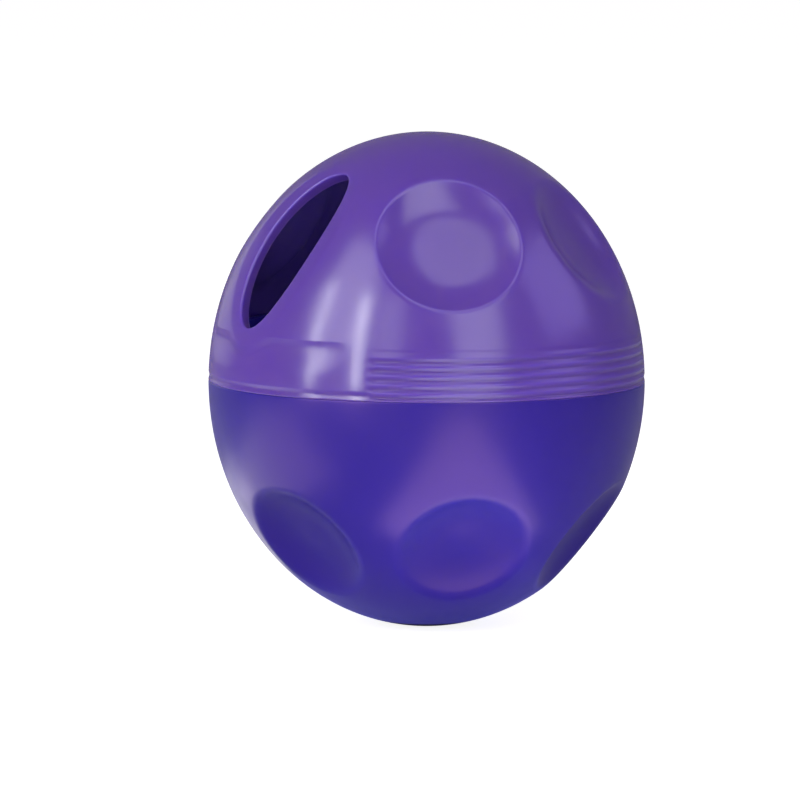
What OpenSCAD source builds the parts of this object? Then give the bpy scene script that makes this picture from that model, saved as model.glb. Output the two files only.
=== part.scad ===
/* [Ball] */
// Diameter at the seam
ball_d = 66.8; // [60:0.2:76]
// Height of the upper shell above the seam
upper_h = 38.1; // [35:0.1:44]
// Height of the lower shell below the seam
lower_h = 37.7; // [35:0.1:44]
// Wall of both shells
wall = 2; // [1.8:0.1:2.6]

/* [Dispensing opening] */
// Length of the opening, up the ball
mouth_l = 27.6; // [20:0.2:28]
// Width of the opening, round the ball
mouth_w = 12.8; // [10:0.2:15]
// Angle round the ball from the front, to the right
mouth_az = -55; // [-58:0.5:-52]
// Height of the opening's centre above the seam
mouth_z = 22.6; // [21:0.2:24]
// Lean of the opening's top towards the front
mouth_tilt = 9; // [0:1:12]
// Length of the shallow hollow round the opening
hollow_l = 31.4; // [29:0.2:32]
// Width of that hollow
hollow_w = 19; // [16:0.2:20]
// Depth of that hollow at its middle
hollow_depth = 1.2; // [0.8:0.1:1.4]

/* [Front dimple] */
// Angle of the flat-floored front dimple, to the right
front_dimple_az = 7.5; // [5:0.5:10]
// Height of its centre above the seam
front_dimple_z = 24; // [21:0.2:24.4]
// Radius at its rim
front_dimple_r = 11.2; // [9:0.1:11.6]
// Depth under its rim
front_dimple_depth = 1.6; // [1:0.1:2]
// Radius of its flat floor
front_floor_r = 5.2; // [3:0.1:6]

/* [Side dimples] */
// Soft dimples on the upper shell, one side pitch apart
upper_dimples = 4; // [1:1:4]
// Height of the upper ones above the seam
upper_dimple_z = 23.4; // [21:0.2:24]
// Radius of the upper ones at the rim
upper_dimple_r = 9.8; // [8:0.1:10.4]
// Dimples on the lower shell, one side pitch apart
lower_dimples = 6; // [1:1:6]
// Angle of the first lower one, from the front
lower_dimple_az = 13; // [-30:0.5:30]
// Distance of the lower ones below the seam
lower_dimple_z = 24; // [21:0.2:24.4]
// Radius of the lower ones at the rim
lower_dimple_r = 10; // [8:0.1:10.6]
// Depth of a side dimple under its rim
side_dimple_depth = 2; // [1:0.1:2.2]
// Radius of a side dimple's flat floor
side_floor_r = 2.4; // [1:0.1:4]

/* [Belt] */
// Ridges on each grip panel
ridges = 5; // [3:1:6]
// Distance from one ridge to the next
ridge_pitch = 1.4; // [1.2:0.05:1.5]
// Depth of the grooves between the ridges
groove_depth = 0.35; // [0.2:0.05:0.5]
// Angle that one grip panel covers
panel_angle = 107; // [60:1:120]
// Angle where the front grip panel starts, from the front
panel_az = -16.5; // [-20:0.5:0]
// Height of the step over the smooth part of the belt
step_z = 8.7; // [7.6:0.1:9.4]
// Depth of that step
step_depth = 0.35; // [0.2:0.05:0.5]

/* [Neck] */
// Height of the neck above the seam
neck_h = 8.6; // [6:0.1:10]
// Wall of the neck
neck_wall = 1.8; // [1.4:0.1:2.2]
// Height of the plain land that centres the upper shell
land_h = 1.6; // [1:0.1:2.4]
// Gap between the land and the bore of the upper shell
land_clearance = 0.1; // [0.05:0.01:0.2]
// Room for the screw thread between neck and bore
thread_room = 1; // [0.8:0.1:1.3]
// Gap over the top of the neck when the ball is closed
neck_end_gap = 0.4; // [0.3:0.1:1]
// Thickness of the shoulder that the upper shell sits on
shoulder_t = 2.2; // [1.8:0.1:3]

/* [Seam] */
// Bevel on the upper shell's edge
upper_bevel = 0.5; // [0.3:0.1:0.8]
// Bevel on the lower shell's edge, across
lower_bevel_w = 0.5; // [0.3:0.1:0.8]
// Bevel on the lower shell's edge, down
lower_bevel_h = 1.2; // [0.6:0.1:1.6]

/* [Hidden] */
$fn = 96;
overrun = 1;
turn = 360;
side_pitch = turn / 6;
panels = 2;
ball_r = ball_d / 2;
inner_r = ball_r - wall;
skirt_h = neck_h + neck_end_gap;
bore_r = girth(inner_r, upper_h - wall, skirt_h);
land_r = bore_r - land_clearance;
neck_r = bore_r - thread_room;
neck_bore_r = neck_r - neck_wall;
groove_r = ridge_pitch / 4;

// Radius of an egg half at height z, with radius r at the seam and height h
function girth(r, h, z) = r * sqrt(1 - pow(z / h, 2));

// Slope of its outward normal above the horizontal at height z
function normal_slope(r, h, z) = atan2(z / (h * h), girth(r, h, z) / (r * r));

// How far the ball curves away under a round rim of radius r
function sag(r) = ball_r - sqrt(ball_r * ball_r - r * r);

// Radius of the arc that rises by depth from a floor of radius floor_r to a rim of radius rim_r
function side_arc_r(rim_r, floor_r, depth) = (pow(rim_r - floor_r, 2) + pow(depth, 2)) / (2 * depth);

// Lengths that give an egg half's two radii of curvature at height z
function curve_base(r, h, z) = sqrt(pow(r * z / h, 2) + pow(h, 2) - pow(z, 2));
function curve_round(r, h, z) = r * curve_base(r, h, z) / h;
function curve_up(r, h, z) = pow(curve_base(r, h, z), 3) / (r * h);

// Radius of curvature left when a hollow of this depth spans this width
function flatter(curve, width) = 1 / (1 / curve - 2 * hollow_depth / pow(width / 2, 2));

// Quarter of an egg's outline, above the seam
module quarter_outline(r, h) {
    intersection() {
        scale([r, h]) circle(r = 1);
        square([r, h]);
    }
}

// Solid half egg above the seam
module half_egg(r, h) {
    rotate_extrude() quarter_outline(r, h);
}

// Puts its children on the outside at angle az and height z, with +Z straight out and +Y up the ball
module on_surface(az, h, z) {
    rotate([0, 0, az])
        translate([0, -girth(ball_r, h, z), z])
            rotate([90 - normal_slope(ball_r, h, z), 0, 0])
                children();
}

// Solid of a round dimple, its sides and floor moved out by grow
module dimple(rim_r, floor_r, rim_depth, grow) {
    depth = rim_depth + sag(rim_r);
    arc_r = side_arc_r(rim_r, floor_r, rim_depth);
    rotate_extrude()
        intersection() {
            union() {
                translate([floor_r, arc_r - depth]) circle(r = arc_r + grow);
                translate([0, -depth - grow]) square([floor_r, depth + grow]);
            }
            translate([0, -depth - grow]) square([rim_r + wall / 2, depth + grow + overrun]);
        }
}

module front_dimple(grow) {
    on_surface(front_dimple_az, upper_h, front_dimple_z)
        dimple(front_dimple_r, front_floor_r, front_dimple_depth, grow);
}

module side_dimples(count, first_az, h, z, rim_r, grow) {
    for (i = [0 : count - 1])
        on_surface(first_az + i * side_pitch, h, z)
            dimple(rim_r, side_floor_r, side_dimple_depth, grow);
}

// All dimples of the upper shell, or with grow the wall behind them too
module upper_dimples(grow) {
    front_dimple(grow);
    side_dimples(upper_dimples, front_dimple_az + side_pitch, upper_h, upper_dimple_z, upper_dimple_r, grow);
}

module lower_dimples(grow) {
    side_dimples(lower_dimples, lower_dimple_az, lower_h, lower_dimple_z, lower_dimple_r, grow);
}

module at_mouth() {
    on_surface(mouth_az, upper_h, mouth_z)
        rotate([0, 0, -mouth_tilt])
            children();
}

// Oval hole through the wall, square to it
module mouth() {
    depth = 2 * wall + sag(mouth_l / 2);
    at_mouth()
        translate([0, 0, -depth])
            scale([mouth_w / mouth_l, 1, 1])
                cylinder(d = mouth_l, h = depth + overrun);
}

// Shallow hollow round the mouth: what a flatter egg leaves of an oval plug
module mouth_hollow() {
    depth = hollow_depth + sag(hollow_l / 2);
    across = flatter(curve_round(ball_r, upper_h, mouth_z), hollow_w);
    along = flatter(curve_up(ball_r, upper_h, mouth_z), hollow_l);
    at_mouth()
        difference() {
            translate([0, 0, -depth])
                scale([hollow_w / hollow_l, 1, 1])
                    cylinder(d = hollow_l + 2 * overrun, h = depth + overrun);
            translate([0, 0, -hollow_depth - upper_h])
                scale([sqrt(across * upper_h), sqrt(along * upper_h), upper_h])
                    sphere(r = 1);
        }
}

// Grooves that leave the ridges of one grip panel standing
module panel_grooves() {
    rotate_extrude(angle = panel_angle, start = panel_az - turn / 4)
        for (i = [0 : ridges]) {
            z = (i + 1 / 2) * ridge_pitch;
            translate([girth(ball_r, upper_h, z) + groove_r - groove_depth, z]) circle(r = groove_r);
        }
}

// Step over one smooth part of the belt, which fades out downwards
module smooth_step() {
    edge_r = girth(ball_r, upper_h, step_z);
    fade_z = step_z - 2 * ridge_pitch;
    fade_r = girth(ball_r, upper_h, fade_z);
    outer_r = 2 * fade_r - edge_r + step_depth;
    rotate_extrude(angle = turn / panels - panel_angle, start = panel_az + panel_angle - turn / 4)
        polygon([
            [edge_r - step_depth, step_z],
            [outer_r, step_z],
            [outer_r, 2 * fade_z - step_z]
        ]);
}

// Bevel round the seam edge of an egg half, w across and h along the ball's axis
module seam_bevel(w, h) {
    rotate_extrude()
        polygon([
            [ball_r - w, 0],
            [ball_r - w, -overrun],
            [ball_r + overrun, -overrun],
            [ball_r + overrun, h * (w + overrun) / w]
        ]);
}

// Upper half with the seam at zero: dimples, opening, grip belt and the bore for the neck
module upper_shell() {
    color("#5f48a0")
        translate([0, 0, lower_h])
            difference() {
                union() {
                    rotate_extrude()
                        difference() {
                            quarter_outline(ball_r, upper_h);
                            intersection() {
                                quarter_outline(inner_r, upper_h - wall);
                                square([bore_r, upper_h]);
                            }
                        }
                    intersection() {
                        half_egg(ball_r, upper_h);
                        upper_dimples(wall);
                    }
                }
                upper_dimples(0);
                mouth_hollow();
                mouth();
                for (i = [0 : panels - 1])
                    rotate([0, 0, i * turn / panels]) {
                        panel_grooves();
                        smooth_step();
                    }
                seam_bevel(upper_bevel, upper_bevel);
            }
}

// Section of the lower half upside down, with the seam at zero
module lower_section() {
    difference() {
        quarter_outline(ball_r, lower_h);
        intersection() {
            quarter_outline(inner_r, lower_h - wall);
            union() {
                square([neck_bore_r, lower_h]);
                polygon([
                    [neck_bore_r, shoulder_t],
                    [inner_r, shoulder_t + inner_r - neck_bore_r],
                    [inner_r, lower_h],
                    [neck_bore_r, lower_h]
                ]);
            }
        }
    }
    translate([neck_bore_r, -neck_h]) square([neck_wall, neck_h + shoulder_t / 2]);
    translate([neck_bore_r, -land_h]) square([land_r - neck_bore_r, land_h + shoulder_t / 2]);
}

// Lower half with its neck, and its pole at the origin
module lower_shell() {
    color("#3b2f92")
        translate([0, 0, lower_h])
            mirror([0, 0, 1])
                difference() {
                    union() {
                        rotate_extrude() lower_section();
                        intersection() {
                            half_egg(ball_r, lower_h);
                            lower_dimples(wall);
                        }
                    }
                    lower_dimples(0);
                    seam_bevel(lower_bevel_w, lower_bevel_h);
                }
}

upper_shell();
lower_shell();
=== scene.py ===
"""Looks of a twist-open treat dispensing ball, built round its CAD frame."""

import math

import bmesh
import bpy
from mathutils import Matrix, Vector


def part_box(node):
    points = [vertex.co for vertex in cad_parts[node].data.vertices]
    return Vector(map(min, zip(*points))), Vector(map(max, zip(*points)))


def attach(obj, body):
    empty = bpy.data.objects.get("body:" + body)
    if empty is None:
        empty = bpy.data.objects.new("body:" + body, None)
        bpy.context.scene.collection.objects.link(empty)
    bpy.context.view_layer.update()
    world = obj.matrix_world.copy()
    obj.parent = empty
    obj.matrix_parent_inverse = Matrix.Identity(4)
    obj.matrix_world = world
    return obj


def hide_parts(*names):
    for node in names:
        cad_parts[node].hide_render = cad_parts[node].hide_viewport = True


bl_info = {
    "name": "Treat Ball",
    "version": (1, 0, 0),
    "blender": (4, 5, 0),
    "location": "3D View > Sidebar > Treat Ball",
    "description": "Builds a twist-open treat dispensing ball with its opening, dimples and grip belt",
    "category": "Object",
}

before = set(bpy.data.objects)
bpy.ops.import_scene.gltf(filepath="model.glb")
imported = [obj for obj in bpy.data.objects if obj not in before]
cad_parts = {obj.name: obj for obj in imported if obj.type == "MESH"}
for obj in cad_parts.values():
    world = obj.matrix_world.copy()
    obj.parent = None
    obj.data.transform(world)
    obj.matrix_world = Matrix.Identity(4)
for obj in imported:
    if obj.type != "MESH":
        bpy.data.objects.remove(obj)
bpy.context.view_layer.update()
upper_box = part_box("upper_shell")
lower_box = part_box("lower_shell")

MM = 0.001
SEAM_Z = upper_box[0].z
BALL_R = upper_box[1].x
UPPER_H = upper_box[1].z - SEAM_Z
LOWER_H = SEAM_Z - lower_box[0].z
NECK_H = lower_box[1].z - SEAM_Z
WALL = 2.0 * MM
BORE_R = 30.41 * MM
SKIRT_H = NECK_H + 0.4 * MM
# How deep the threads are rooted in the wall that carries them
THREAD_ROOT = 0.2 * MM
# The bead at the belt's foot, and the groove that sets it off
BEAD_Z = 0.1 * MM
BEAD_GROOVE = 1.4 * MM
# The angle from one dimple to the next
SIXTH = math.radians(60.0)
# The inner skins are spun over a sixteenth of a turn and then doubled four times
INNER_SPANS = [(math.pi / 8.0, 12)]
# Vertices closer than this are one
WELD = 0.002 * MM
# A height above anything on the ball, in metres
OUT_OF_REACH = 1.0


class BallSizes(bpy.types.PropertyGroup):
    """Sizes of the ball's two halves that the CAD frame doesn't fix."""

    mouth_az: bpy.props.FloatProperty(
        name="Opening angle",
        description="Angle of the opening round the ball from the front, to the right",
        default=math.radians(-55.0), subtype="ANGLE")
    mouth_z: bpy.props.FloatProperty(
        name="Opening height", description="Height of the opening's centre above the seam",
        default=22.6 * MM, unit="LENGTH")
    mouth_tilt: bpy.props.FloatProperty(
        name="Opening lean", description="Lean of the opening's top towards the front",
        default=math.radians(9.0), subtype="ANGLE")
    mouth_w: bpy.props.FloatProperty(
        name="Opening width", description="Width of the opening", default=12.8 * MM, unit="LENGTH")
    mouth_l: bpy.props.FloatProperty(
        name="Opening length", description="Length of the opening", default=27.6 * MM, unit="LENGTH")
    hollow_w: bpy.props.FloatProperty(
        name="Hollow width", description="Width of the shallow hollow round the opening",
        default=19.0 * MM, unit="LENGTH")
    hollow_l: bpy.props.FloatProperty(
        name="Hollow length", description="Length of the shallow hollow round the opening",
        default=31.4 * MM, unit="LENGTH")
    hollow_depth: bpy.props.FloatProperty(
        name="Hollow depth", description="Depth of the hollow at its middle",
        default=1.2 * MM, unit="LENGTH")
    lip_r: bpy.props.FloatProperty(
        name="Lip radius", description="Radius of the opening's rounded lip",
        default=0.4 * MM, unit="LENGTH")
    front_az: bpy.props.FloatProperty(
        name="Front dimple angle", description="Angle of the front dimple, to the right",
        default=math.radians(7.5), subtype="ANGLE")
    front_z: bpy.props.FloatProperty(
        name="Front dimple height", description="Height of the front dimple above the seam",
        default=24.0 * MM, unit="LENGTH")
    front_r: bpy.props.FloatProperty(
        name="Front dimple radius", description="Radius of the front dimple at its rim",
        default=11.2 * MM, unit="LENGTH")
    front_floor_r: bpy.props.FloatProperty(
        name="Front floor radius", description="Radius of the front dimple's flat floor",
        default=4.2 * MM, unit="LENGTH")
    front_depth: bpy.props.FloatProperty(
        name="Front dimple depth", description="Depth of the front dimple under its rim",
        default=1.6 * MM, unit="LENGTH")
    front_edge: bpy.props.FloatProperty(
        name="Front rim softness", description="How far the front dimple's rim is rounded away",
        default=0.3 * MM, unit="LENGTH")
    side_z: bpy.props.FloatProperty(
        name="Upper side dimple height", description="Height of the upper side dimples above the seam",
        default=23.4 * MM, unit="LENGTH")
    side_r: bpy.props.FloatProperty(
        name="Upper side dimple radius", description="Radius of the upper side dimples",
        default=9.8 * MM, unit="LENGTH")
    lower_az: bpy.props.FloatProperty(
        name="Lower dimple angle", description="Angle of the first lower dimple",
        default=math.radians(13.0), subtype="ANGLE")
    lower_z: bpy.props.FloatProperty(
        name="Lower dimple height", description="Distance of the lower dimples below the seam",
        default=24.0 * MM, unit="LENGTH")
    lower_r: bpy.props.FloatProperty(
        name="Lower dimple radius", description="Radius of the lower dimples",
        default=10.0 * MM, unit="LENGTH")
    side_depth: bpy.props.FloatProperty(
        name="Side dimple depth", description="Depth of a side dimple under its rim",
        default=2.0 * MM, unit="LENGTH")
    side_floor_r: bpy.props.FloatProperty(
        name="Side floor radius", description="Radius of a side dimple's flat floor",
        default=2.4 * MM, unit="LENGTH")
    side_edge: bpy.props.FloatProperty(
        name="Upper rim softness", description="How far an upper side dimple's rim is rounded away",
        default=1.6 * MM, unit="LENGTH")
    lower_edge: bpy.props.FloatProperty(
        name="Lower rim softness", description="How far a lower dimple's rim is rounded away",
        default=0.9 * MM, unit="LENGTH")
    ridge_pitch: bpy.props.FloatProperty(
        name="Ridge pitch", description="Distance from one grip ridge to the next",
        default=1.38 * MM, unit="LENGTH")
    ridge_drop: bpy.props.FloatProperty(
        name="Ridge drop", description="How far the ridges lie below whole pitches from the seam",
        default=0.22 * MM, unit="LENGTH")
    ridges: bpy.props.IntProperty(
        name="Ridges", description="Grip ridges on each panel of the belt", default=5, min=1, max=6)
    crease_r: bpy.props.FloatProperty(
        name="Crease softness", description="How far the edge of the opening's hollow is rounded away",
        default=0.12 * MM, unit="LENGTH")
    groove_depth: bpy.props.FloatProperty(
        name="Groove depth", description="Depth of the grooves between the ridges",
        default=0.28 * MM, unit="LENGTH")
    panel_az: bpy.props.FloatProperty(
        name="Panel start", description="Angle where the front grip panel starts",
        default=math.radians(-16.5), subtype="ANGLE")
    panel_angle: bpy.props.FloatProperty(
        name="Panel angle", description="Angle that one grip panel covers",
        default=math.radians(107.0), subtype="ANGLE")
    step_z: bpy.props.FloatProperty(
        name="Step height", description="Height of the step over the smooth part of the belt",
        default=8.7 * MM, unit="LENGTH")
    step_depth: bpy.props.FloatProperty(
        name="Step depth", description="Depth of that step", default=0.28 * MM, unit="LENGTH")
    bead_depth: bpy.props.FloatProperty(
        name="Bead depth",
        description="Depth of the shallow groove that leaves a bead at the belt's foot",
        default=0.12 * MM, unit="LENGTH")
    thread_height: bpy.props.FloatProperty(
        name="Thread height", description="How far the screw thread stands proud of the neck",
        default=0.42 * MM, unit="LENGTH")
    thread_lead: bpy.props.FloatProperty(
        name="Thread lead", description="Rise of the screw thread in one turn",
        default=6.0 * MM, unit="LENGTH")


class BallLooks(bpy.types.PropertyGroup):
    """Colours of the ball and of the place where it stands."""

    upper_hex: bpy.props.StringProperty(
        name="Upper colour", description="sRGB colour of the upper half's plastic", default="573a94")
    upper_sheen_hex: bpy.props.StringProperty(
        name="Upper sheen", description="sRGB tint of the upper half's gloss", default="ffffff")
    lower_hex: bpy.props.StringProperty(
        name="Lower colour", description="sRGB colour of the lower half's plastic", default="221a83")
    lower_sheen_hex: bpy.props.StringProperty(
        name="Lower sheen", description="sRGB tint that the dye's bronzing gives the lower half's gloss",
        default="ffc0e0")
    floor_hex: bpy.props.StringProperty(
        name="Floor colour", description="sRGB colour of the floor", default="ffffff")


def girth(radius, height, z):
    """Radius of an egg half at distance z from the seam."""
    return radius * math.sqrt(max(0.0, 1.0 - (z / height) ** 2))


def placement(az, z, height):
    """Matrix that puts +Z straight out of the ball and +Y up it.

    Its place is at angle az to the right of the front and at distance z above the seam.
    """
    r = girth(BALL_R, height, z)
    slope = math.atan2(z / height ** 2, r / BALL_R ** 2)
    out = Vector((math.sin(az) * math.cos(slope), -math.cos(az) * math.cos(slope), math.sin(slope)))
    right = Vector((math.cos(az), math.sin(az), 0.0))
    up = out.cross(right)
    turn = Matrix((right, up, out)).transposed().to_4x4()
    return Matrix.Translation((r * math.sin(az), -r * math.cos(az), SEAM_Z + z)) @ turn


def skin_over(place, radius, height):
    """Gives the function of x and y for the height of an egg half's surface over a placement."""
    shrink = Matrix.Diagonal((1.0 / radius, 1.0 / radius, 1.0 / height, 1.0))
    local = shrink @ Matrix.Translation((0.0, 0.0, -SEAM_Z)) @ place
    start, right, up, out = (local.col[i].xyz for i in (3, 0, 1, 2))
    square = out.dot(out)

    def skin(x, y):
        p = start + right * x + up * y
        half = p.dot(out)
        return (math.sqrt(max(0.0, half * half - square * (p.dot(p) - 1.0))) - half) / square
    return skin


def lower_of(a, b, softness):
    """The lower of two heights, with their crossing rounded over softness."""
    mix = max(softness - abs(a - b), 0.0) / softness
    return min(a, b) - mix * mix * softness / 4.0


def ease(share):
    """Eases from 0 to 1 as share goes from 0 to 1."""
    share = min(max(share, 0.0), 1.0)
    return share * share * (3.0 - 2.0 * share)


def wave(turns):
    """Rises from 0 to 1 and falls back to 0 once in every turn."""
    return 0.5 - 0.5 * math.cos(2.0 * math.pi * turns)


def dish(rho, rim_r, floor_r, depth, grow=0.0):
    """Height of a dimple's floor and sides at distance rho from its middle, moved out by grow."""
    sag = BALL_R - math.sqrt(BALL_R ** 2 - rim_r ** 2)
    arc_r = ((rim_r - floor_r) ** 2 + depth ** 2) / (2.0 * depth)
    across = max(0.0, rho - floor_r)
    grown = arc_r + grow
    if across >= grown:
        return OUT_OF_REACH
    return arc_r - depth - sag - math.sqrt(grown ** 2 - across ** 2)


def turn_round(bm, verts, angle):
    """Turns vertices round the ball's long axis."""
    bmesh.ops.rotate(bm, cent=(0.0, 0.0, 0.0), matrix=Matrix.Rotation(angle, 3, "Z"), verts=verts)


def spin_round(bm, geom, angle, steps, rise=0.0):
    """Spins a profile round the ball's long axis, with a rise at each step, and gives its last copy."""
    made = bmesh.ops.spin(
        bm, geom=geom, cent=(0.0, 0.0, 0.0), axis=(0.0, 0.0, 1.0), dvec=(0.0, 0.0, rise),
        angle=angle, steps=steps, use_merge=False, use_duplicate=False)
    return made["geom_last"]


def set_radius(v, radius):
    """Moves a vertex straight in or out to a radius from the ball's long axis."""
    share = radius / math.hypot(v.co.x, v.co.y)
    v.co.x *= share
    v.co.y *= share


def lathe(bm, points, spans, doublings):
    """Turns a profile of (radius, height above the seam) points round the ball.

    The spans are (angle, steps) pairs for a part of the turn, which is then doubled until it closes.
    """
    verts = [bm.verts.new((0.0, -r, SEAM_Z + z)) for r, z in points]
    geom = verts + [bm.edges.new(pair) for pair in zip(verts, verts[1:])]
    for angle, steps in spans:
        geom = spin_round(bm, geom, angle, steps)
    for i in range(doublings):
        copy = bmesh.ops.duplicate(bm, geom=bm.verts[:] + bm.edges[:] + bm.faces[:])["geom"]
        verts = [g for g in copy if isinstance(g, bmesh.types.BMVert)]
        turn_round(bm, verts, math.pi / 2 ** (doublings - 1 - i))
    bmesh.ops.remove_doubles(bm, verts=bm.verts, dist=WELD)


def cut_oval(bm, place, a, b, skin):
    """Cuts an oval out of an egg half's surface and gives the edge loop left there.

    It is an oval as seen along the placement's Z. The faces round it are first bent until its edge lies
    level, then cut with one plane and put back on the egg.
    """
    inverse = place.inverted()
    margin, sliver = 1.6 * MM, 0.06 * MM
    near = 1.2 * (max(a, b) + margin)
    local = {}
    for v in bm.verts:
        if (v.co - place.translation).length > near:
            continue
        p = inverse @ v.co
        if abs(p.x) < a + margin and abs(p.y) < b + margin:
            local[v] = p
    faces = [f for f in bm.faces if all(v in local for v in f.verts)]
    before = {v: v.co.copy() for v in local}
    for v, p in local.items():
        v.co = place @ Vector((p.x, p.y, a * math.hypot(p.x / a, p.y / b)))
    # The keys of a dict keep their order, so that every run gives the same mesh
    edges = dict.fromkeys(e for f in faces for e in f.edges)
    verts = dict.fromkeys(v for f in faces for v in f.verts)
    cut = bmesh.ops.bisect_plane(
        bm, geom=list(verts) + list(edges) + faces, dist=1e-9, plane_co=place @ Vector((0.0, 0.0, a)),
        plane_no=place.to_3x3() @ Vector((0.0, 0.0, 1.0)), clear_inner=True, clear_outer=False)
    ring = dict.fromkeys(g for g in cut["geom_cut"] if isinstance(g, bmesh.types.BMVert))
    for v, co in before.items():
        if v.is_valid:
            v.co = co
    for v in ring:
        p = inverse @ v.co
        v.co = place @ Vector((p.x, p.y, skin(p.x, p.y)))
    bmesh.ops.remove_doubles(bm, verts=list(ring), dist=sliver)
    return [e for v in ring if v.is_valid for e in v.link_edges
            if e.is_boundary and e.verts[0] is v and e.verts[1] in ring]


def next_ring(bm, edges, place, old, new, height_at):
    """Extrudes an edge loop from one oval to the next and puts it at height_at(x, y).

    Both ovals are (half width, half length).
    """
    made = bmesh.ops.extrude_edge_only(bm, edges=edges)["geom"]
    verts = {g for g in made if isinstance(g, bmesh.types.BMVert)}
    inverse = place.inverted()
    for v in verts:
        p = inverse @ v.co
        x, y = p.x * new[0] / old[0], p.y * new[1] / old[1]
        v.co = place @ Vector((x, y, height_at(x, y)))
    return [g for g in made if isinstance(g, bmesh.types.BMEdge) and all(v in verts for v in g.verts)]


def start_patch(edges):
    """Copies an edge loop to a new bmesh, where a patch is built on it."""
    patch = bmesh.new()
    twins = {v: patch.verts.new(v.co) for v in dict.fromkeys(v for e in edges for v in e.verts)}
    return patch, [patch.edges.new((twins[e.verts[0]], twins[e.verts[1]])) for e in edges]


def press_dimple(bm, place, rim_r, floor_r, depth, edge, height):
    """Cuts a round dimple into an egg half's skin and closes it with rings down to its flat floor."""
    skin = skin_over(place, BALL_R, height)

    def height_at(x, y):
        return lower_of(skin(x, y), dish(math.hypot(x, y), rim_r, floor_r, depth), edge)

    # The rings lie close together over the rounded rim and wider apart down the sides
    start = rim_r + 1.3 * edge + 0.4 * MM
    rounded = 1.2 * edge + 0.1 * MM
    fine, coarse = max(0.1 * MM, 0.25 * edge), 0.55 * MM
    radii = []
    r = start
    while r > floor_r:
        r -= fine if abs(r - rim_r) < rounded else coarse
        radii.append(r)
    radii += [0.75 * floor_r, 0.5 * floor_r]
    patch, loop = start_patch(cut_oval(bm, place, start, start, skin))
    old = start
    for r in radii:
        loop = next_ring(patch, loop, place, (old, old), (r, r), height_at)
        old = r
    bmesh.ops.edgeloop_fill(patch, edges=loop)
    join_mesh(bm, patch)


def press_inside(bm, place, rim_r, floor_r, depth, radius, height):
    """Swells the inner skin where the wall follows a dimple inwards."""
    inverse = place.inverted()
    skin = skin_over(place, radius, height)
    reach, softness = rim_r + 6.0 * MM, 0.8 * MM
    for v in bm.verts:
        if (v.co - place.translation).length > 1.3 * reach:
            continue
        p = inverse @ v.co
        rho = math.hypot(p.x, p.y)
        if rho < reach:
            swell = dish(rho, rim_r, floor_r, depth, WALL)
            p.z = lower_of(skin(p.x, p.y), swell, softness)
            v.co = place @ p


def step_sink(sizes, z):
    """Depth of the belt's smooth part, which turns in sharply under the step and comes out slowly."""
    turn_in, come_out = 1.6 * MM, 4.0 * MM
    under = sizes.step_z - z
    if under < turn_in:
        return sizes.step_depth * math.sin(math.pi / 2.0 * under / turn_in)
    return sizes.step_depth * ease(1.0 - (under - turn_in) / come_out)


def ridge_sink(sizes, z):
    """Depth of the belt's ridged part, which has only a faint groove above its top ridge."""
    faint = 0.2
    first = sizes.ridge_pitch - sizes.ridge_drop
    rows = (z - BEAD_Z) / (first - BEAD_Z) if z < first else (z + sizes.ridge_drop) / sizes.ridge_pitch
    if rows > sizes.ridges + 1:
        return 0.0
    return sizes.groove_depth * wave(max(rows, 0.0)) * (1.0 if rows < sizes.ridges else faint)


def belt_sink(sizes, co):
    """How far the belt lies under the egg's surface at a point near it."""
    z = co.z - SEAM_Z
    if not 0.0 < z < sizes.step_z:
        return 0.0
    # How far the point is inside a grip panel, or below 0 how far outside the nearest one
    along = (math.atan2(co.x, -co.y) - sizes.panel_az) % math.pi
    past = along - sizes.panel_angle
    inside = BALL_R * (min(along, -past) if past < 0.0 else -min(past, math.pi - along))
    # A shallow groove leaves a bead at the belt's foot, all round
    foot = 0.0
    if BEAD_Z < z < BEAD_Z + BEAD_GROOVE:
        foot = sizes.bead_depth * wave((z - BEAD_Z) / BEAD_GROOVE)
    # The ridges run out over 2 mm at both ends of a panel, and the step starts 2 mm past them
    ridged = ridge_sink(sizes, z) * ease(inside / (2.0 * MM))
    smooth = step_sink(sizes, z) * ease((-inside - 2.0 * MM) / (7.0 * MM))
    return max(smooth, foot, ridged)


def shape_belt(bm, sizes, mouth):
    """Sinks the belt's grooves and its fading steps, clear of the opening's hollow."""
    inverse = mouth.inverted()
    a, b = sizes.hollow_w / 2.0, sizes.hollow_l / 2.0
    for v in bm.verts:
        sunk = belt_sink(sizes, v.co)
        if not sunk:
            continue
        # The belt starts 0.5 mm outside the hollow and has its full depth 1 mm further out
        p = inverse @ v.co
        if p.z > -a:
            clear = (math.hypot(p.x / a, p.y / b) - 1.0) * a
            sunk *= min(max((clear - 0.5 * MM) / MM, 0.0), 1.0)
        set_radius(v, math.hypot(v.co.x, v.co.y) - sunk)


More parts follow.
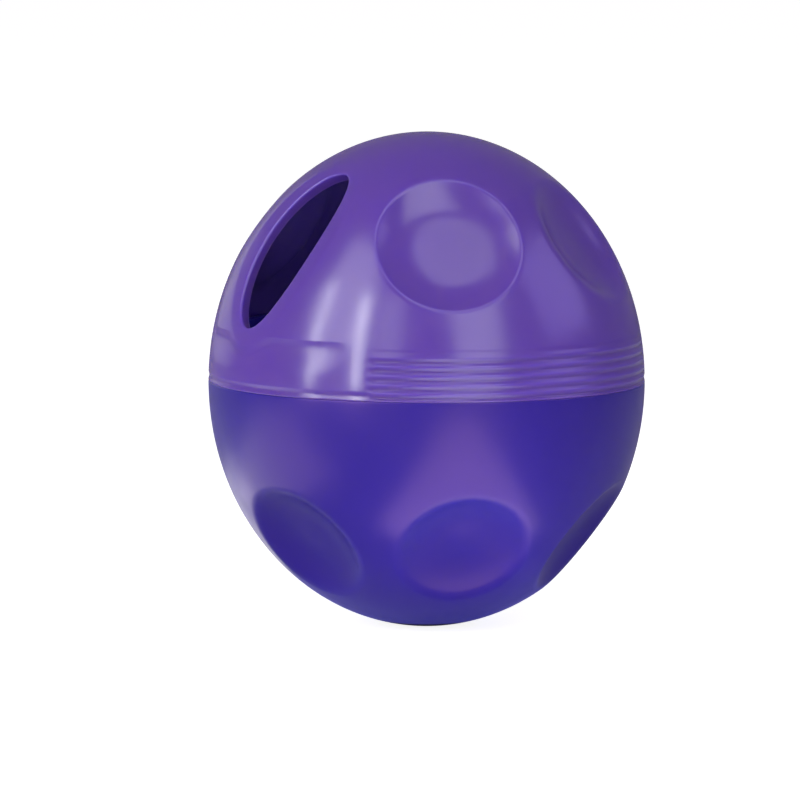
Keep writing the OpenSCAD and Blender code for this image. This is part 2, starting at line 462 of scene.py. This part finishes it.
def open_mouth(bm, place, sizes):
    """Cuts the opening: the hollow's crease, the slope, the rounded lip and the wall to the inner skin."""
    a, b = sizes.hollow_w / 2.0, sizes.hollow_l / 2.0
    hole = (sizes.mouth_w / 2.0, sizes.mouth_l / 2.0)
    lip = sizes.lip_r
    skin = skin_over(place, BALL_R, UPPER_H)

    def height_at(x, y):
        egg = skin(x, y)
        sunk = sizes.hollow_depth * (1.0 - (x / a) ** 2 - (y / b) ** 2)
        return lower_of(egg, egg - sunk, sizes.crease_r)

    margin, steps = 0.45 * MM, 5
    old = (a + margin, b + margin)
    patch, loop = start_patch(cut_oval(bm, place, old[0], old[1], skin))
    # Rings close together over the crease, then steps down the slope to the lip
    rings = [(a + d * MM, b + d * MM) for d in (0.3, 0.2, 0.1, 0.0, -0.1, -0.2, -0.35, -0.55)]
    last = rings[-1]
    edge = (hole[0] + lip, hole[1] + lip)
    for i in range(1, steps + 1):
        rings.append(tuple(last[k] + (edge[k] - last[k]) * i / steps for k in range(2)))
    for new in rings:
        loop = next_ring(patch, loop, place, old, new, height_at)
        old = new
    for i in range(1, steps + 1):
        angle = math.pi / 2.0 * i / steps
        new = tuple(hole[k] + lip * (1.0 - math.sin(angle)) for k in range(2))
        drop = lip * (1.0 - math.cos(angle))
        loop = next_ring(patch, loop, place, old, new, lambda x, y: height_at(x, y) - drop)
        old = new
    inner = skin_over(place, BALL_R - WALL, UPPER_H - WALL)
    for share in (0.35, 0.7, 0.9):
        def wall(x, y):
            return (height_at(x, y) - lip) * (1.0 - share) + inner(x, y) * share
        loop = next_ring(patch, loop, place, old, old, wall)
    join_mesh(bm, patch)
    return hole


def run_thread(root_r, crest_r, start_az, start_z, sweep, lead):
    """Winds one start of a coarse screw thread, from its root's radius to its crest's."""
    half_foot, half_crest, steps = 0.7 * MM, 0.25 * MM, 72
    rise = lead * sweep / (2.0 * math.pi)
    profile = [(root_r, -half_foot), (crest_r, -half_crest), (crest_r, half_crest), (root_r, half_foot)]
    bm = bmesh.new()
    verts = [bm.verts.new((0.0, -r, SEAM_Z + start_z + z)) for r, z in profile]
    edges = [bm.edges.new((verts[i], verts[(i + 1) % 4])) for i in range(4)]
    last = spin_round(bm, verts + edges, sweep, steps, rise / steps)
    bmesh.ops.edgeloop_fill(bm, edges=edges)
    bmesh.ops.edgeloop_fill(bm, edges=[g for g in last if isinstance(g, bmesh.types.BMEdge)])
    # The crest sinks to the root over the last tenth of the sweep at both ends
    for v in bm.verts:
        turned = math.atan2(v.co.x, -v.co.y) % (2.0 * math.pi)
        share = min(turned, sweep - turned) / (0.1 * sweep)
        fade = math.sin(0.5 * math.pi * min(max(share, 0.05), 1.0))
        set_radius(v, root_r + (math.hypot(v.co.x, v.co.y) - root_r) * fade)
    turn_round(bm, bm.verts, start_az)
    return bm


def join_mesh(bm, other):
    """Adds another bmesh's geometry to bm."""
    mesh = bpy.data.meshes.new("part")
    other.to_mesh(mesh)
    other.free()
    bm.from_mesh(mesh)
    bpy.data.meshes.remove(mesh)


def close_seams(bm):
    """Merges the patches with the skin that they were built on."""
    rims = [v for v in bm.verts if v.is_boundary]
    bmesh.ops.remove_doubles(bm, verts=rims, dist=WELD)


def bridge_open(bm, inside):
    """Bridges the two open loops whose vertices all pass the test."""
    edges = [e for e in bm.edges if e.is_boundary and all(inside(v) for v in e.verts)]
    bmesh.ops.bridge_loops(bm, edges=edges)


def finish_piece(bm, name, body, node, material):
    """Makes a closed bmesh the piece that rides on a body and stands for a CAD node."""
    bmesh.ops.recalc_face_normals(bm, faces=bm.faces)
    open_edges = [e for e in bm.edges if not e.is_manifold]
    if open_edges:
        raise RuntimeError(f"{name} isn't closed: {len(open_edges)} open edges")
    sharp = math.radians(38.0)
    for face in bm.faces:
        face.smooth = True
    for edge in bm.edges:
        edge.smooth = edge.calc_face_angle(0.0) < sharp
    mesh = bpy.data.meshes.new(name)
    bm.to_mesh(mesh)
    bm.free()
    piece = bpy.data.objects.new(name, mesh)
    bpy.context.scene.collection.objects.link(piece)
    mesh.materials.append(material)
    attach(piece, body)
    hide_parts(node)


def linear(hex_colour):
    """An sRGB hex colour as linear red, green, blue and alpha."""
    parts = [int(hex_colour[i:i + 2], 16) / 255.0 for i in (0, 2, 4)]
    return tuple(c / 12.92 if c <= 0.04045 else ((c + 0.055) / 1.055) ** 2.4 for c in parts) + (1.0,)


def shaded(colour, share):
    """A linear colour made darker or lighter by a share."""
    return tuple(min(1.0, c * share) for c in colour[:3]) + (1.0,)


def clear_tree(owner):
    """Turns on a material's or a world's nodes and gives the tree, emptied."""
    owner.use_nodes = True
    owner.node_tree.nodes.clear()
    return owner.node_tree


def add_node(tree, kind, inputs=None, links=None):
    """Adds a node with the settings of its inputs and its links from (node, output) pairs."""
    node = tree.nodes.new(kind)
    for name, value in (inputs or {}).items():
        node.inputs[name].default_value = value
    for name, (source, output) in (links or {}).items():
        tree.links.new(source.outputs[output], node.inputs[name])
    return node


def moulded_abs(name, hex_colour, sheen_hex, gloss_range, flow_az):
    """Injection moulded ABS, tinted through and slightly translucent, from a polished mould.

    The eye sees a soft gloss, a faint flow cloud, and light that sinks a little way into the dye, so that
    shaded hollows keep their colour.
    """
    material = bpy.data.materials.new(name)
    tree = clear_tree(material)
    base = linear(hex_colour)
    place = add_node(tree, "ShaderNodeTexCoord")
    # Dye clouds about 18 mm across, stretched up the flow from the gate at the pole
    turned = add_node(
        tree, "ShaderNodeMapping", inputs={"Scale": (1.0, 1.0, 0.4), "Rotation": (0.0, 0.0, flow_az)},
        links={"Vector": (place, "Object")})
    cloud = add_node(
        tree, "ShaderNodeTexNoise",
        inputs={"Scale": 1.0 / (18.0 * MM), "Detail": 2.0, "Roughness": 0.4},
        links={"Vector": (turned, "Vector")})
    tint = add_node(tree, "ShaderNodeValToRGB", links={"Fac": (cloud, "Fac")})
    ramp = tint.color_ramp.elements
    ramp[0].position, ramp[1].position = 0.3, 0.7
    ramp[0].color, ramp[1].color = shaded(base, 0.96), shaded(base, 1.04)
    # Handling haze about 6 mm across lifts the gloss a little here and there
    haze = add_node(
        tree, "ShaderNodeTexNoise",
        inputs={"Scale": 1.0 / (6.0 * MM), "Detail": 3.0, "Roughness": 0.55},
        links={"Vector": (place, "Object")})
    gloss = add_node(
        tree, "ShaderNodeMapRange",
        inputs={"From Min": 0.3, "From Max": 0.7, "To Min": gloss_range[0], "To Max": gloss_range[1]},
        links={"Value": (haze, "Fac")})
    # The refractive index of ABS is about 1.53. Blue light goes furthest through this dye, some 2.5 mm
    shader = add_node(
        tree, "ShaderNodeBsdfPrincipled",
        inputs={"IOR": 1.53, "Metallic": 0.0, "Specular Tint": linear(sheen_hex),
                "Subsurface Weight": 1.0, "Subsurface Radius": (0.3, 0.25, 1.0),
                "Subsurface Scale": 2.5 * MM},
        links={"Base Color": (tint, "Color"), "Roughness": (gloss, "Result")})
    add_node(tree, "ShaderNodeOutputMaterial", links={"Surface": (shader, "BSDF")})
    return material


def egg_rows(radius, height, start, steps):
    """Profile points up an egg half, from distance start to its pole."""
    first = math.asin(start / height)
    angles = [first + (math.pi / 2.0 - first) * i / steps for i in range(steps + 1)]
    return [(radius * math.cos(t), height * math.sin(t)) for t in angles[:-1]] + [(0.0, height)]


class BALL_OT_upper_shell(bpy.types.Operator):
    """Make the upper half: its opening, dimples, grip belt and bore"""

    bl_idname = "ball.upper_shell"
    bl_label = "Upper Shell"

    def execute(self, context):
        sizes, looks = context.scene.ball_sizes, context.scene.ball_looks
        # The outer profile: the rounded foot, close rows up the belt, and the rest of the egg
        edge, row = 0.12 * MM, 0.1 * MM
        rows = []
        for i in range(5):
            angle = math.pi / 2.0 * i / 4
            rows.append((BALL_R - edge + edge * math.sin(angle), edge * (1.0 - math.cos(angle))))
        z = edge + row
        while z < sizes.step_z - 0.5 * row:
            rows.append((girth(BALL_R, UPPER_H, z), z))
            z += row
        rows.append((girth(BALL_R, UPPER_H, sizes.step_z), sizes.step_z))
        rows += egg_rows(BALL_R, UPPER_H, sizes.step_z + 0.5 * row, 78)
        # The mesh is closest round the ends of the grip panels, where the grooves run out
        near = math.radians(4.0)
        panel = sizes.panel_angle - 2.0 * near
        smooth = math.pi - sizes.panel_angle - 2.0 * near
        bm = bmesh.new()
        lathe(bm, rows, [(near, 14), (panel, 68), (2.0 * near, 24), (smooth, 46), (near, 12)], 1)
        turn_round(bm, bm.verts, sizes.panel_az)
        mouth = placement(sizes.mouth_az, sizes.mouth_z, UPPER_H)
        mouth = mouth @ Matrix.Rotation(-sizes.mouth_tilt, 4, "Z")
        shape_belt(bm, sizes, mouth)
        inner_r, inner_h = BALL_R - WALL, UPPER_H - WALL
        bore = [(BORE_R, SKIRT_H * i / 9) for i in range(9)]
        inside = bmesh.new()
        lathe(inside, bore + egg_rows(inner_r, inner_h, SKIRT_H, 46), INNER_SPANS, 4)
        # Five dimples stand 60 degrees apart, and the opening has the sixth place
        front = (sizes.front_z, sizes.front_r, sizes.front_floor_r, sizes.front_depth, sizes.front_edge)
        side = (sizes.side_z, sizes.side_r, sizes.side_floor_r, sizes.side_depth, sizes.side_edge)
        for i, (z, rim_r, floor_r, depth, softness) in enumerate((front, side, side, side, side)):
            place = placement(sizes.front_az + i * SIXTH, z, UPPER_H)
            press_dimple(bm, place, rim_r, floor_r, depth, softness, UPPER_H)
            press_inside(inside, place, rim_r, floor_r, depth, inner_r, inner_h)
        hole = open_mouth(bm, mouth, sizes)
        cut_oval(inside, mouth, hole[0], hole[1], skin_over(mouth, inner_r, inner_h))
        join_mesh(bm, inside)
        close_seams(bm)
        bridge_open(bm, lambda v: v.co.z > SEAM_Z + 0.5 * SKIRT_H)
        bridge_open(bm, lambda v: v.co.z < SEAM_Z + edge)
        # Two thread starts face each other in the bore
        start_z, sweep = 2.6 * MM, math.radians(110.0)
        for start_az in (math.radians(70.0), math.radians(250.0)):
            join_mesh(bm, run_thread(
                BORE_R + THREAD_ROOT, BORE_R - sizes.thread_height, start_az, start_z, sweep,
                sizes.thread_lead))
        material = moulded_abs(
            "gloss_abs_upper", looks.upper_hex, looks.upper_sheen_hex, gloss_range=(0.19, 0.25), flow_az=0.4)
        finish_piece(bm, "upper_half", "upper", "upper_shell", material)
        return {"FINISHED"}


class BALL_OT_lower_shell(bpy.types.Operator):
    """Make the lower half: its dimples, rounded shoulder and neck"""

    bl_idname = "ball.lower_shell"
    bl_label = "Lower Shell"

    def execute(self, context):
        sizes, looks = context.scene.ball_sizes, context.scene.ball_looks
        edge_w, edge_h = 0.15 * MM, 0.2 * MM
        land_r, land_h, bevel = BORE_R - 0.1 * MM, 1.6 * MM, 0.3 * MM
        neck_r = BORE_R - 1.0 * MM
        bore = neck_r - 1.8 * MM
        rim, corner = 0.5 * MM, 0.15 * MM
        # The outer profile: the egg, its rounded edge, the land that centres the upper half, and the neck
        rows = [(r, -z) for r, z in reversed(egg_rows(BALL_R, LOWER_H, edge_h, 80))]
        for i in range(1, 9):
            angle = math.pi / 2.0 * i / 8
            rows.append((BALL_R - edge_w * (1.0 - math.cos(angle)), -edge_h * (1.0 - math.sin(angle))))
        rows += [(land_r, 0.0), (land_r, land_h - bevel), (land_r - bevel, land_h), (neck_r, land_h)]
        rows += [(neck_r, land_h + (NECK_H - rim - land_h) * i / 6) for i in range(1, 7)]
        rows += [(neck_r - corner, NECK_H - corner), (neck_r - rim, NECK_H), (bore + rim, NECK_H),
                 (bore + corner, NECK_H - corner), (bore, NECK_H - rim), (bore, -1.0 * MM)]
        bm = bmesh.new()
        lathe(bm, rows, [(math.pi / 8.0, 19)], 4)
        # The inner profile flares under the shoulder from the neck's bore out to the inner skin
        shoulder = 2.2 * MM
        inner_r, inner_h = BALL_R - WALL, LOWER_H - WALL
        flare = shoulder + 0.5 * MM
        while bore + flare - shoulder < girth(inner_r, inner_h, flare):
            flare += 0.02 * MM
        inner = [(bore, -shoulder + 0.4 * MM), (bore + corner, -shoulder - corner),
                 (bore + 0.5 * (flare - shoulder), -0.5 * (flare + shoulder))]
        inner += [(r, -z) for r, z in egg_rows(inner_r, inner_h, flare, 48)]
        inside = bmesh.new()
        lathe(inside, inner, INNER_SPANS, 4)
        shape = (sizes.lower_r, sizes.side_floor_r, sizes.side_depth)
        for i in range(6):
            place = placement(sizes.lower_az + i * SIXTH, -sizes.lower_z, LOWER_H)
            press_dimple(bm, place, *shape, sizes.lower_edge, LOWER_H)
            press_inside(inside, place, *shape, inner_r, inner_h)
        join_mesh(bm, inside)
        close_seams(bm)
        bridge_open(bm, lambda v: True)
        # Two thread starts stand opposite each other on the neck
        start_z, sweep = 3.2 * MM, math.radians(160.0)
        for start_az in (0.0, math.pi):
            join_mesh(bm, run_thread(
                neck_r - THREAD_ROOT, neck_r + sizes.thread_height, start_az, start_z, sweep,
                sizes.thread_lead))
        material = moulded_abs(
            "gloss_abs_lower", looks.lower_hex, looks.lower_sheen_hex, gloss_range=(0.29, 0.34), flow_az=1.3)
        finish_piece(bm, "lower_half", "lower", "lower_shell", material)
        return {"FINISHED"}


def studio_paper(hex_colour):
    """Matt studio paper, which gives the ball half of its own light back and looks evenly lit."""
    material = bpy.data.materials.new("studio_paper")
    tree = clear_tree(material)
    white = linear(hex_colour)
    matt = add_node(tree, "ShaderNodeBsdfDiffuse", inputs={"Color": shaded(white, 0.5)})
    # Only the camera sees this even light, so it doesn't fall on the ball
    even = add_node(tree, "ShaderNodeEmission", inputs={"Color": white, "Strength": 0.88})
    both = add_node(tree, "ShaderNodeAddShader", links={0: (matt, "BSDF"), 1: (even, "Emission")})
    path = add_node(tree, "ShaderNodeLightPath")
    mix = add_node(
        tree, "ShaderNodeMixShader",
        links={"Fac": (path, "Is Camera Ray"), 1: (matt, "BSDF"), 2: (both, "Shader")})
    add_node(tree, "ShaderNodeOutputMaterial", links={"Surface": (mix, "Shader")})
    return material


def light_room(scene):
    """Fills the room with a weak, faintly violet light and shows the camera a white wall."""
    world = bpy.data.worlds.new("studio")
    scene.world = world
    tree = clear_tree(world)
    soft = add_node(
        tree, "ShaderNodeBackground", inputs={"Color": (1.0, 0.93, 1.04, 1.0), "Strength": 0.22})
    plain = add_node(
        tree, "ShaderNodeBackground", inputs={"Color": (1.0, 1.0, 1.0, 1.0), "Strength": 1.0})
    path = add_node(tree, "ShaderNodeLightPath")
    mix = add_node(
        tree, "ShaderNodeMixShader",
        links={"Fac": (path, "Is Camera Ray"), 1: (soft, "Background"), 2: (plain, "Background")})
    add_node(tree, "ShaderNodeOutputWorld", links={"Surface": (mix, "Shader")})


def add_lamp(scene, data):
    """Puts a lamp in the scene, out of the camera's sight."""
    lamp = bpy.data.objects.new(data.name, data)
    scene.collection.objects.link(lamp)
    lamp.visible_camera = False
    return lamp


def add_panel_lamp(scene, name, width, height, radiance, hex_colour):
    """Adds a rectangular lamp that shines with a radiance and a colour."""
    data = bpy.data.lights.new(name, "AREA")
    data.shape = "RECTANGLE"
    data.size, data.size_y = width, height
    data.energy = radiance * math.pi * width * height
    data.color = linear(hex_colour)[:3]
    return add_lamp(scene, data)


def aim_camera(scene, centre):
    """Sets the photo's view, with the seam's centre at its pixel and a millimetre 6.533 pixels long."""
    distance, scale, pixels = 1.5, 6.533 / MM, 800.0
    seam_x, seam_y = 426.5, 380.0
    elevation, roll = math.radians(6.0), math.radians(0.3)
    data = bpy.data.cameras.new("camera")
    camera = bpy.data.objects.new("camera", data)
    scene.collection.objects.link(camera)
    data.sensor_width = 36.0
    data.lens = data.sensor_width * scale * distance / pixels
    data.clip_start, data.clip_end = 0.1, 20.0
    back = Vector((0.0, -math.cos(elevation), math.sin(elevation)))
    turn = (-back).to_track_quat("-Z", "Y").to_matrix()
    right, up = turn @ Vector((1.0, 0.0, 0.0)), turn @ Vector((0.0, 1.0, 0.0))
    aim = centre - right * ((seam_x - pixels / 2.0) / scale) - up * ((pixels / 2.0 - seam_y) / scale)
    camera.location = aim + back * distance
    camera.rotation_euler = (Matrix.Rotation(roll, 3, back) @ turn).to_euler()
    scene.camera = camera


class BALL_OT_stage(bpy.types.Operator):
    """Make the floor, the soft studio light and the camera"""

    bl_idname = "ball.stage"
    bl_label = "Stage"

    def execute(self, context):
        scene = context.scene
        bm = bmesh.new()
        bmesh.ops.create_grid(bm, x_segments=1, y_segments=1, size=3.0)
        mesh = bpy.data.meshes.new("floor")
        bm.to_mesh(mesh)
        bm.free()
        mesh.materials.append(studio_paper(scene.ball_looks.floor_hex))
        floor = bpy.data.objects.new("floor", mesh)
        scene.collection.objects.link(floor)
        light_room(scene)

        # Each lamp: angle to the right of the front, elevation, width, height, radiance and colour
        distance = 0.7
        centre = Vector((0.0, 0.0, SEAM_Z))
        for name, az, elevation, width, height, radiance, tint in (
                ("left_strip", -63.0, 17.0, 0.05, 0.48, 15.0, "ffffff"),
                ("centre_strip", -37.0, 17.0, 0.05, 0.48, 19.0, "ffffff"),
                ("left_window", -50.0, 34.0, 0.30, 0.60, 3.2, "ffffff"),
                ("centre_window", -20.0, 20.0, 0.15, 0.44, 2.2, "ffffff"),
                ("right_window", 28.0, 24.0, 0.32, 0.60, 3.0, "ffffff"),
                ("right_wing", 84.0, 30.0, 0.40, 0.40, 2.4, "c2b3ff"),
                ("left_back", -142.0, 12.0, 0.40, 0.34, 0.5, "ffffff"),
                ("top", 12.0, 66.0, 0.28, 0.30, 2.0, "ffffff")):
            lamp = add_panel_lamp(scene, name, width, height, radiance, tint)
            turn, rise = math.radians(az), math.radians(elevation)
            aim = Vector((math.sin(turn) * math.cos(rise), -math.cos(turn) * math.cos(rise), math.sin(rise)))
            lamp.location = centre + aim * distance
            lamp.rotation_euler = aim.to_track_quat("Z", "Y").to_euler()

        # Each card on the floor: angle to the right of the front, distance, width, depth, radiance, colour
        for name, az, reach, width, depth, radiance, tint in (
                ("right_card", 17.0, 0.112, 0.05, 0.165, 2.3, "ffffff"),
                ("left_card", -82.0, 0.135, 0.09, 0.17, 1.2, "ffffff"),
                ("back_card", -135.0, 0.07, 0.06, 0.08, 1.0, "ffffff"),
                ("under_card", 0.0, 0.0, 0.05, 0.05, 0.4, "7878ff")):
            card = add_panel_lamp(scene, name, width, depth, radiance, tint)
            turn = math.radians(az)
            card.location = (reach * math.sin(turn), -reach * math.cos(turn), 1.0 * MM)
            card.rotation_euler = (math.pi, 0.0, turn)

        # This lamp inside the ball stands for the light that comes through its thin wall
        data = bpy.data.lights.new("inner_glow", "POINT")
        data.energy, data.shadow_soft_size = 0.005, 4.0 * MM
        data.color = (0.7, 1.0, 0.9)
        add_lamp(scene, data).location = (0.0, 0.0, SEAM_Z + 12.0 * MM)

        aim_camera(scene, centre)
        scene.view_settings.view_transform = "Standard"
        return {"FINISHED"}


class BALL_PT_panel(bpy.types.Panel):
    """Lists the ball's sizes, colours and pieces"""

    bl_idname = "BALL_PT_panel"
    bl_label = "Treat Ball"
    bl_space_type = "VIEW_3D"
    bl_region_type = "UI"
    bl_category = "Treat Ball"

    def draw(self, context):
        for group in (context.scene.ball_sizes, context.scene.ball_looks):
            column = self.layout.column(align=True)
            for name in group.bl_rna.properties.keys():
                if name not in ("rna_type", "name"):
                    column.prop(group, name)
        for operator in OPERATORS:
            self.layout.operator(operator.bl_idname)


OPERATORS = (BALL_OT_upper_shell, BALL_OT_lower_shell, BALL_OT_stage)
CLASSES = (BallSizes, BallLooks) + OPERATORS + (BALL_PT_panel,)


def register():
    for cls in CLASSES:
        bpy.utils.register_class(cls)
    bpy.types.Scene.ball_sizes = bpy.props.PointerProperty(type=BallSizes)
    bpy.types.Scene.ball_looks = bpy.props.PointerProperty(type=BallLooks)


def unregister():
    del bpy.types.Scene.ball_sizes
    del bpy.types.Scene.ball_looks
    for cls in reversed(CLASSES):
        bpy.utils.unregister_class(cls)


def main():
    register()
    bpy.ops.ball.upper_shell()
    bpy.ops.ball.lower_shell()
    bpy.ops.ball.stage()


if __name__ == "__main__":
    main()
